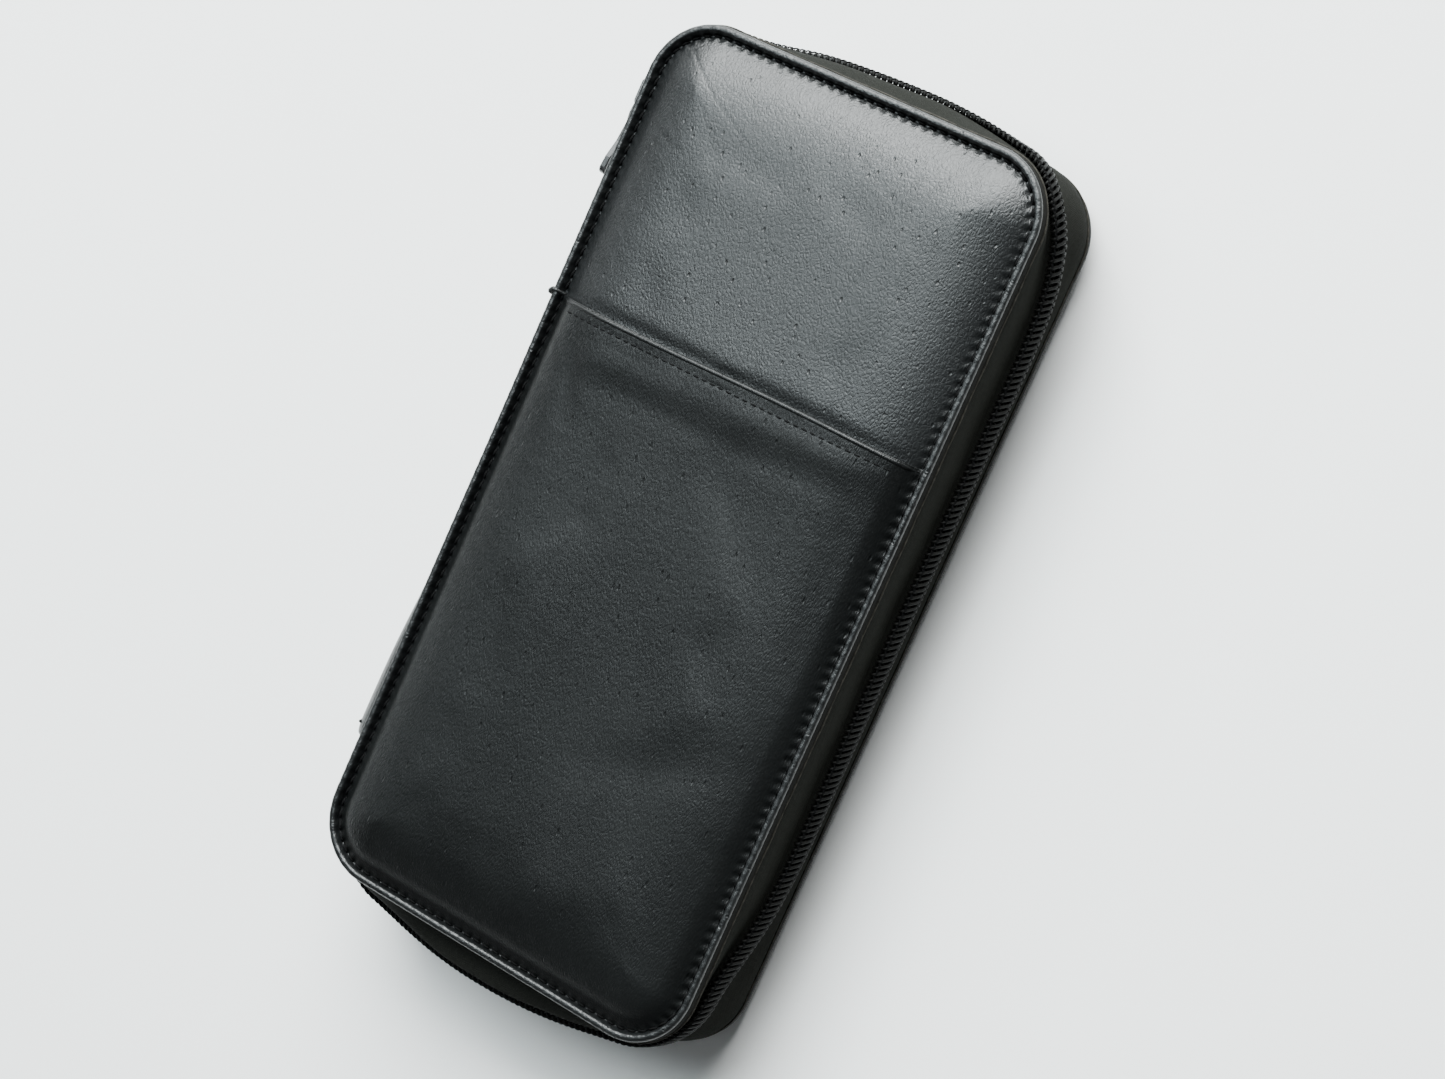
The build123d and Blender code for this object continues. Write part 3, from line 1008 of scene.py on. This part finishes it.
# %% How the zip wanders, in millimetres and degrees
# Each entry says how far along the zip it is, how far the zip's middle stands out there, how far it runs
# above the gusset's middle, and how far its two halves lean together like a roof.
ZIP_LINE = [
    (0, 3.4, 0, 0), (17, 3.4, 0, 0), (25, 2.2, 1.4, 2), (31, 0.6, 1.2, 0), (36, 0.4, 0.8, 0),
    (43, 0.8, 0.3, -6), (49, 2.0, 0, -12), (56, 2.9, 0, -15), (66, 3.5, 0, -16), (78, 3.9, 0, -16),
    (88, 3.9, 0, -14), (98, 3.1, 1.0, -6), (108, 2.1, 4.0, 6), (118, 1.3, 6.0, 20), (123, 1.3, 5.6, 24),
    (128, 2.1, 4.2, 24), (133, 3.1, 2.2, 24), (140, 3.7, 0.4, 24), (150, 4.1, 0, 24), (175, 4.1, 0, 24),
    (215, 3.7, 0, 24), (245, 3.9, 0, 24), (270, 4.0, 0, 24), (283, 3.5, 1.2, 24), (293, 2.5, 3.6, 24),
    (300, 1.7, 5.6, 20), (312, 0.9, 6.2, 10), (322, 1.2, 5.6, 0), (332, 3.2, 5.0, -8),
    (342, 5.4, 4.4, -12), (353, 6.8, 4.2, -14), (364, 7.3, 4.2, -14), (374, 7.1, 4.0, -12),
    (384, 6.2, 3.2, -8), (394, 4.9, 2.0, -2), (404, 3.8, 0.8, 0), (414, 3.4, 0, 0), (700, 3.4, 0, 0),
]
line_smoothing = 5 * MM
coil_depth = 1.8 * MM
print("the zip stands out by up to", max(key[1] for key in ZIP_LINE), "mm")


# %% Points anywhere on the zip
def zip_line(way):
    """The zip's middle: distance out, rise, and lean in radians."""
    keys = np.array(ZIP_LINE) * MM
    near = way[:, None] + np.linspace(-line_smoothing, line_smoothing, 11)
    out, rise, lean = (np.interp(near, keys[:, 0], keys[:, k]).mean(axis=1) for k in (1, 2, 3))
    return out, rise, np.radians(lean / MM)


def zip_section(way, across, off, side):
    """Distance out and rise of points given from the zip's middle: across its half, and off its tape."""
    middle_out, middle_rise, lean = zip_line(way)
    out = middle_out - coil_depth - across * np.sin(lean) + off * np.cos(lean)
    rise = middle_rise + side * (across * np.cos(lean) + off * np.sin(lean))
    return out, rise


def zip_points(way, out, rise):
    """Points in the row frame from distances along the zip, out from the outline, and rise."""
    points, outward = zip_at(way)
    flat = points + outward * out[:, None]
    return np.column_stack([flat, middle_z + rise])


# %% [markdown]
# ## Zip tape
# Each half is a woven band, sewn under the rim, that leans outwards and carries half of the coil on its edge.
# It is a thin closed section swept along the zip. Its UV map is in real distances along and across the tape,
# so that the weave follows the band round the corners.

# %% The tape's section
tape_half = 0.3 * MM
tape_steps = 620
leaving_strength = (0.35, 0.9)


def tape_section(way, side):
    """The tape's middle line from the rim to its edge behind the coil, as rows of (out, rise).

    It is a Hermite curve, as a stiff band takes: it leaves the rim in one direction, and arrives at the coil
    in the coil's own direction.
    """
    root = np.full_like(way, -0.4 * MM), np.full_like(way, side * (half_gusset - 0.15 * MM))
    seat = zip_section(way, 3.0 * MM, -tape_half, side)
    further = zip_section(way, 2.0 * MM, -tape_half, side)
    reach = np.hypot(seat[0] - root[0], seat[1] - root[1])
    rows = []
    for t in np.linspace(0, 1, 14):
        h00, h10 = 2 * t**3 - 3 * t**2 + 1, t**3 - 2 * t**2 + t
        h01, h11 = 3 * t**2 - 2 * t**3, t**3 - t**2
        leave = (leaving_strength[0] * reach, -side * leaving_strength[1] * reach)
        arrive = [(b - a) / MM * reach for a, b in zip(seat, further)]
        rows.append([h00 * a + h10 * m + h01 * b + h11 * n for a, m, b, n in zip(root, leave, seat, arrive)])
    for across in np.linspace(3.0, 0.7, 6)[1:]:
        rows.append(list(zip_section(way, across * MM, -tape_half, side)))
    return np.array(rows)


def zip_blend(piece):
    """Bakes the piece's placement into its mesh; the piece stays where it is drawn and follows neither the
    spine nor a cover.
    """
    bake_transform(piece)


# %% Sweep the tape
way = np.linspace(0.3 * MM, zip_length - 0.3 * MM, tape_steps)
near_start = np.exp(-(((way - 13 * MM) / (8 * MM)) ** 2))
belly_depth = {1: 2.5 * MM, -1: 0}
for side_name, side in SIDES.items():
    middle = tape_section(way, side)
    slope = np.gradient(middle, axis=0)
    slope /= np.hypot(slope[:, 0], slope[:, 1])[:, None]
    normal = np.stack([-slope[:, 1] * -side, slope[:, 0] * -side], axis=1)
    count = len(middle)
    share = np.linspace(0, 1, count)[:, None]
    ripple = 0.10 * MM * np.sin(way / (7.3 * MM) + side) + 0.07 * MM * np.sin(way / (3.1 * MM))
    belly = np.sin(np.clip(share / 0.7, 0, 1) * math.pi) ** 2 * near_start
    swell = np.sin(share * math.pi) * ripple + belly_depth[side] * belly
    faces_out = middle + normal * tape_half
    faces_out[:, 0] += swell
    faces_in = middle - normal * tape_half
    faces_in[:, 0] += swell
    section = np.concatenate([faces_out, faces_in[::-1]])
    stack = np.array([zip_points(way, out, rise) for out, rise in section]).transpose(1, 0, 2)
    gaps = np.hypot(*np.diff(middle, axis=0).transpose(1, 0, 2))
    width = np.concatenate([np.zeros((1, len(way))), np.cumsum(gaps, axis=0)])
    width = np.concatenate([width, width[::-1]]).T
    uvs = np.stack([np.broadcast_to(way[:, None], width.shape), width], axis=-1).reshape(-1, 2)
    faces = swept_faces(tape_steps, 2 * count)
    tape = new_object(side_name + "_woven_tape", stack.reshape(-1, 3), faces)
    layer = tape.data.uv_layers.new(name="along_the_tape")
    corner_points = np.zeros(len(tape.data.loops), np.int64)
    tape.data.loops.foreach_get("vertex_index", corner_points)
    layer.data.foreach_set("uv", uvs[corner_points].ravel())
    zip_blend(tape)
    replaced = [side_name + "_zip_tape"] + (["zip_tape_ends"] if side == 1 else [])
    dress(tape, zip_tape, None, replaced)
    print(tape.name, "is", round(width.max() / MM, 1), "mm wide at most")

# %% [markdown]
# ## Zip coil
# A nylon zip is one stiff thread wound into a flattened spiral, sewn to the tape by a chain stitch. The two
# halves are the same spiral, half a turn apart, so that their loops sit in each other's gaps. The spiral is a
# formula, not a list of points, and the tube around it is the thread.

# %% Wind the two halves
coil_pitch = 1.45 * MM
coil_slant = 0.4
coil_from, coil_to = 2.0 * MM, zip_length - 2.0 * MM
points_per_turn = 16


def squared(wave, power):
    """A sine or cosine with flatter tops."""
    return np.sign(wave) * np.abs(wave) ** power


for side_name, side in SIDES.items():
    turns = (coil_to - coil_from) / coil_pitch
    theta = np.linspace(0, turns, int(turns * points_per_turn)) * 2 * math.pi
    shift = 0.0 if side == 1 else 0.5 * coil_pitch
    across = (1.12 - 1.52 * squared(np.cos(theta), 0.7)) * MM
    way = coil_from + shift + theta / (2 * math.pi) * coil_pitch + coil_slant * side * across
    off = (0.90 + 0.52 * squared(np.sin(theta), 0.7)) * MM
    line = zip_points(way, *zip_section(way, across, off, side))
    _, outward = zip_at(way)
    ups = np.column_stack([outward, np.zeros(len(outward))])
    head = 1 + 0.15 * np.exp(-(((across + 0.35 * MM) / (0.4 * MM)) ** 2))
    coil = tubes(side_name + "_nylon_coil", [line], 0.385 * MM * head, ups[None], 6)
    zip_blend(coil)
    replaced = [side_name + "_zip_coil"] + (["zip_coil_ends"] if side == 1 else [])
    dress(coil, nylon_coil, None, replaced)
    print(coil.name, round(turns), "turns")

# %% The chain stitch that holds each coil
# Each leg of a link: the share of its length, how far it stands from the other leg, and its height.
CHAIN_LEG = [(0.0, 1.0, -0.2), (0.35, 0.9, 0.06), (0.7, 0.45, 0.04), (1.0, 0.1, -0.2)]
for side_name, side in SIDES.items():
    count = int((coil_to - coil_from) / coil_pitch) - 1
    begin = coil_from + (np.arange(count) + (0.25 if side == 1 else 0.75)) * coil_pitch
    lines, sides_up = [], []
    for leg in (-1, 1):
        points = []
        for t, apart, lift in CHAIN_LEG:
            way = begin + t * 1.15 * coil_pitch
            across = np.full(count, 2.3 * MM) + leg * apart * 0.2 * MM
            off = np.full(count, (1.58 + lift) * MM)
            points.append(zip_points(way, *zip_section(way, across, off, side)))
        lines.append(np.array(points).transpose(1, 0, 2))
        _, outward = zip_at(begin)
        sides_up.append(np.column_stack([outward, np.zeros(count)]))
    lines, ups = np.vstack(lines), np.vstack(sides_up)
    chain = tubes(side_name + "_chain_stitch", lines, 0.11 * MM, ups[:, None], 5)
    zip_blend(chain)
    dress(chain, thread)
    print(chain.name, count, "links")

# %% [markdown]
# ## Spine
# The spine is one strip of leather, bowed a little, with a thin board and a lining inside. Its long edges go
# under the two rims, where it folds when the case opens. The leather has stretched more than the board inside
# it, so towards one end it sags away from the case.

# %% The spine's bow and the leather's slack
spine_bow = 2.0 * MM
spine_half_height = half_gusset - 0.3 * MM


def spine_slack(along, rise):
    """How far the leather sags away from the case: most below its upper edge, near its lower end."""
    loose = np.clip((-along - 12 * MM) / (58 * MM), 0, 1)
    upper = 0.5 + 0.5 * np.tanh(rise / (4 * MM))
    held = np.clip((half_gusset - np.abs(rise)) / (4 * MM), 0, 1) ** 0.6
    return loose * loose * (3 - 2 * loose) * (0.4 + 2.0 * upper) * held * MM


# %% Sweep the bowed strip
def bowed_strip(name, node, sag, edge_round, steps):
    """A strip that follows a CAD node of the spine, with rounded edges and a slight waviness."""
    low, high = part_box(node)
    thickness = 1.2 * MM if node == "spine_leather" else (high.x - low.x) - spine_bow
    half_height = (high.z - low.z) / 2
    outer_out = -half_width - low.x
    outer, inner = [], []
    for share in np.linspace(-1, 1, 25):
        fall = spine_bow * share * share
        tuck = edge_round * abs(share) ** 8
        rise = share * half_height
        outer.append((outer_out - fall - tuck, rise))
        inner.append((outer_out - fall - thickness, rise))
    section = outer + inner[::-1]
    along = np.linspace(low.y, high.y, steps)
    near_end = np.minimum(along - low.y, high.y - along)
    pinch = 0.45 * MM * np.exp(-near_end / (1.0 * MM))
    wave = 0.10 * MM * np.sin(along / (11 * MM)) + 0.06 * MM * np.sin(along / (4.3 * MM) + 1)
    stack = np.empty((steps, len(section), 3))
    for number, (out, rise) in enumerate(section):
        slack = sag * spine_slack(along, rise)
        surface = pinch - wave if number < len(outer) else 0
        stack[:, number, 0] = -half_width - out - slack + surface
        stack[:, number, 1] = along
        stack[:, number, 2] = middle_z + rise
    return new_object(name, stack.reshape(-1, 3), swept_faces(steps, len(section)))


spine_strip = bowed_strip("spine_strip", "spine_leather", 1.0, 0.7 * MM, 300)
dress(spine_strip, cover_leather, "spine", ["spine_leather"])
spine_cloth = bowed_strip("spine_lining_strip", "spine_lining", 0.0, 0.0, 120)
dress(spine_cloth, lining_cloth, "spine", ["spine_lining"])
print("spine strips:", len(spine_strip.data.polygons), "and", len(spine_cloth.data.polygons), "faces")

# %% Stitches across both ends of the spine
spine_low, spine_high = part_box("spine_leather")
spine_pitch = 2.4 * MM
begin = np.arange(-9.6 * MM, 9.0 * MM, spine_pitch)
spine_out = -half_width - spine_low.x
rows_of_starts, rows_of_ends = [], []
for end in (-1, 1):
    for share, store in ((0.15, rows_of_starts), (0.85, rows_of_ends)):
        rise = begin + share * spine_pitch
        out = spine_out - spine_bow * (rise / spine_half_height) ** 2 - 0.05 * MM
        y = np.full_like(rise, end * (spine_high.y - 2.3 * MM))
        out = out + spine_slack(y, rise)
        store.append(np.column_stack([-half_width - out, y, middle_z + rise]))
starts, ends = np.vstack(rows_of_starts), np.vstack(rows_of_ends)
ups = np.tile((-1, 0, 0), (len(starts), 1))
row = stitch_row("spine_end_stitches", starts, ends, ups, 0.3 * MM, 0.25 * MM)
dress(row, thread, "spine", ["spine_stitching"])
print("stitches across the spine's ends:", len(starts))

# %% [markdown]
# ## Slider, stops and pull tab
# These are cast metal and their CAD shapes are right, so they stay. A small bevel on their edges catches the
# light, which a perfectly sharp edge never does.

# %% Bevel and enamel the metal
# How wide each bevel is, in millimetres.
BEVELS = {"slider_body": 0.22, "slider_bridge": 0.3, "pull_tab": 0.25, "zip_end_stops": 0.25}
for node, bevel in BEVELS.items():
    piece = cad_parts[node]
    dress(piece, enamel)
    soften = piece.modifiers.new("soft_edges", "BEVEL")
    soften.width = bevel * MM
    soften.segments = 3
    soften.limit_method = "ANGLE"
    soften.angle_limit = math.radians(35)
    soften.use_clamp_overlap = True
print("bevelled:", *BEVELS)

# %% [markdown]
# ## Inside: lining, sleeves and boards
# The inside shows only when the case is open: a lining sewn over the board, and two sleeves in each half for
# folded glasses. A sleeve is a soft arch of cloth, open at the top end, with a bound edge round its mouth.

# %% Lining with a soft edge: distance in from the outline and depth, in millimetres
LINING_SECTION = [(50, -0.05), (30, -0.05), (3.1, -0.05), (2.95, -0.3), (3.05, -0.55), (3.6, -0.72)]
LINING_SECTION += [(4.6, -0.66), (5.6, -0.74), (9, -0.78), (16, -0.74), (30, -0.72), (50, -0.72)]
for side_name, side in SIDES.items():
    loops = []
    for inset, depth in LINING_SECTION:
        points, _ = outline_loop(inset * MM, 1.0 * MM)
        waver = 0.03 * MM * np.sin(points[:, 0] / (5 * MM)) * np.sin(points[:, 1] / (7 * MM))
        level = np.full(len(points), depth * MM) + (waver if depth < -0.6 else 0)
        loops.append(np.column_stack([points, level]))
    cloth = ring_piece(side_name + "_lining_cloth", on_side(side, loops))
    dress(cloth, lining_cloth, side_name + "_half", [side_name + "_lining"])


# %% The soft arch of a sleeve
sleeve_rows, sleeve_columns = 44, 40
closed_from = 0.86


def sleeve_surface(low, high, side, offset):
    """Rows of one sleeve's soft arch, from its mouth to its closed end."""
    width, length = high.x - low.x, high.y - low.y
    depth = high.z - low.z
    base = low.z if side == -1 else high.z
    rows = []
    for v in np.linspace(0, 1, sleeve_rows):
        closing = 1 - max(0.0, (v - closed_from) / (1 - closed_from)) ** 2.2
        slack = 1 - 0.10 * math.sin(math.pi * v) ** 2
        tall = max(depth * slack * closing - offset, 0.12 * MM)
        row = []
        for u in np.linspace(-1, 1, sleeve_columns):
            half = width / 2 - offset - 0.25 * MM * math.sin(math.pi * min(v * 1.1, 1))
            arch = (1 - abs(u) ** 7) ** 0.5
            sag = 0.5 * MM * math.cos(u * math.pi / 2) * math.sin(3.1 * v * math.pi) * closing
            x = (low.x + high.x) / 2 + u * half
            y = high.y - v * (length - offset) - 0.9 * MM * (1 - u * u) * (v < 0.02)
            row.append((x, y, base - side * max(tall * arch - max(sag, 0) * arch, 0.0)))
        rows.append(row)
    return np.array(rows)


# %% Two sleeves in each half, with bound mouths
second = sleeve_rows * sleeve_columns
first_row = list(range(sleeve_columns))
first_column = [r * sleeve_columns for r in range(sleeve_rows)]
last_column = [start + sleeve_columns - 1 for start in first_column]
last_row = [first_column[-1] + c for c in first_row]
rim = first_column[::-1] + first_row + last_column + last_row[::-1]
for side_name, side in SIDES.items():
    for hand in ("left", "right"):
        node = f"{side_name}_sleeve_{hand}"
        low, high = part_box(node)
        skin_out = sleeve_surface(low, high, side, 0.0)
        skin_in = sleeve_surface(low, high, side, 0.8 * MM)
        vertices = np.vstack([skin_out.reshape(-1, 3), skin_in.reshape(-1, 3)])
        faces = [*grid_faces(sleeve_rows, sleeve_columns, wrap_columns=False)]
        faces += [*grid_faces(sleeve_rows, sleeve_columns, wrap_columns=False, first=second)]
        for a, b in zip(rim, rim[1:] + rim[:1]):
            if a != b:
                faces.append((a, b, b + second, a + second))
        sleeve = new_object(node + "_cloth", vertices, faces)
        dress(sleeve, lining_cloth, side_name + "_half", [node])
        mouth = (skin_out[0] + skin_in[0]) / 2
        binding = tubes(node + "_binding", [mouth], 0.75 * MM, (0, 1, 0), 8)
        dress(binding, pocket_leather, side_name + "_half")
        print(sleeve.name, len(sleeve.data.polygons), "faces")

# %% Hidden boards keep their CAD shape
BOARDS = ["front_board", "back_board", "spine_board"]
for node in BOARDS:
    dress(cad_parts[node], board)
print("boards kept as they are:", *BOARDS)

# %% [markdown]
# ## Floor, light and camera
# The floor is a plain pale surface. Black leather is seen by what it mirrors, so the lights are placed for
# their reflections. A weak even light comes from all around, as in a white room. A window above is mirrored
# by the upper part of the leather and not by the lower. A large wall behind the slider's end lights the floor
# and that edge, and a narrow low strip on the spine's side draws a thin line along the bead.

# %% Floor
bpy.ops.mesh.primitive_plane_add(size=6, location=(0, 0, 0))
floor = bpy.context.object
floor.name = "pale_floor"
floor_finish = Finish("pale_paper", 0.9)
floor_grain = floor_finish.noise(floor_finish.place(), 0.02, 2.0)
floor_finish.colour(floor_grain, (0.86, 0.86, 0.85), (0.88, 0.88, 0.87))
floor.data.materials.append(floor_finish.material)
print("floor:", floor.name)

# %% Light
world = bpy.data.worlds.new("white_room")
world.use_nodes = True
room = world.node_tree.nodes["Background"]
room.inputs["Color"].default_value = (0.93, 0.98, 1.0, 1)
room.inputs["Strength"].default_value = 0.17
bpy.context.scene.world = world


def soft_light(name, place, target, size, power, colour):
    """A rectangular area light that faces a point."""
    data = bpy.data.lights.new(name, "AREA")
    data.shape = "RECTANGLE"
    data.size, data.size_y = size
    data.energy = power
    data.color = colour
    lamp = bpy.data.objects.new(name, data)
    lamp.location = place
    lamp.rotation_mode = "QUATERNION"
    lamp.rotation_quaternion = (Vector(target) - Vector(place)).to_track_quat("-Z", "Y")
    bpy.context.scene.collection.objects.link(lamp)
    print(name, size, "m,", power, "W")


soft_light("window", (-0.23, 0.26, 0.80), (0, 0.06, 0.03), (0.66, 0.5), 10, (0.86, 0.97, 1.0))
soft_light("back_wall", (-0.4, 1.45, 1.15), (0, 0, 0), (1.9, 1.3), 190, (0.96, 1.0, 1.0))
soft_light("low_strip", (-1.0, 0.1, 0.62), (0, 0.02, 0.02), (1.3, 0.06), 2, (0.9, 0.97, 1.0))

# %% Camera
camera_data = bpy.data.cameras.new("camera")
camera_data.lens = 85.2
camera = bpy.data.objects.new("camera", camera_data)
camera.location = (0.3361, 0.0887, 0.6660)
camera_target = Vector((0.01127, 0.00284, 0.0292))
camera_roll = math.radians(-79.16)
facing = (camera_target - camera.location).to_track_quat("-Z", "Y")
camera.rotation_mode = "QUATERNION"
camera.rotation_quaternion = facing @ Quaternion((0, 0, 1), camera_roll)
bpy.context.scene.collection.objects.link(camera)
bpy.context.scene.camera = camera
print("camera:", round((camera.location - camera_target).length, 2), "m from its target")
